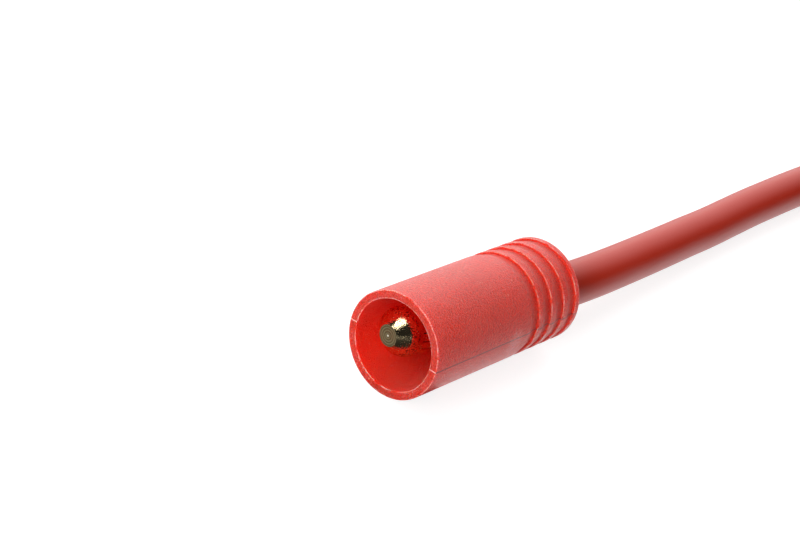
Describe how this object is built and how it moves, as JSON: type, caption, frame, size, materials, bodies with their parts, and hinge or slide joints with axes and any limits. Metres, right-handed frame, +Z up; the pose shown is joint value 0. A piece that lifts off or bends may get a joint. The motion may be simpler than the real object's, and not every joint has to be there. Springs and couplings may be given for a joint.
{
  "type": "battery lead connector",
  "caption": "Gold-plated spring bullet contact in a red moulded grip housing, soldered to a short red silicone battery lead.",
  "frame": {"origin": "under the middle of the housing, on the surface it lies on", "axes": "+Y along the housing from its mouth to the wire, +Z up, +X to the side"},
  "size_m": [0.0103, 0.1213, 0.0101],
  "materials": {
    "red_moulding": "satin, finely spark-eroded",
    "gold_plate": "turned and gold plated, bright",
    "solder": "dull bright",
    "copper_strands": "bare fine strands",
    "red_silicone": "soft, matt, faintly dusty",
    "tinned": "solder-dipped strands"
  },
  "bodies": {
    "root": {"housing": "red_moulding", "contact": "gold_plate", "spring_cage": "gold_plate", "cup_solder": "solder", "strands": "copper_strands", "wire": "red_silicone", "tinned_end": "tinned"}
  },
  "joints": []
}
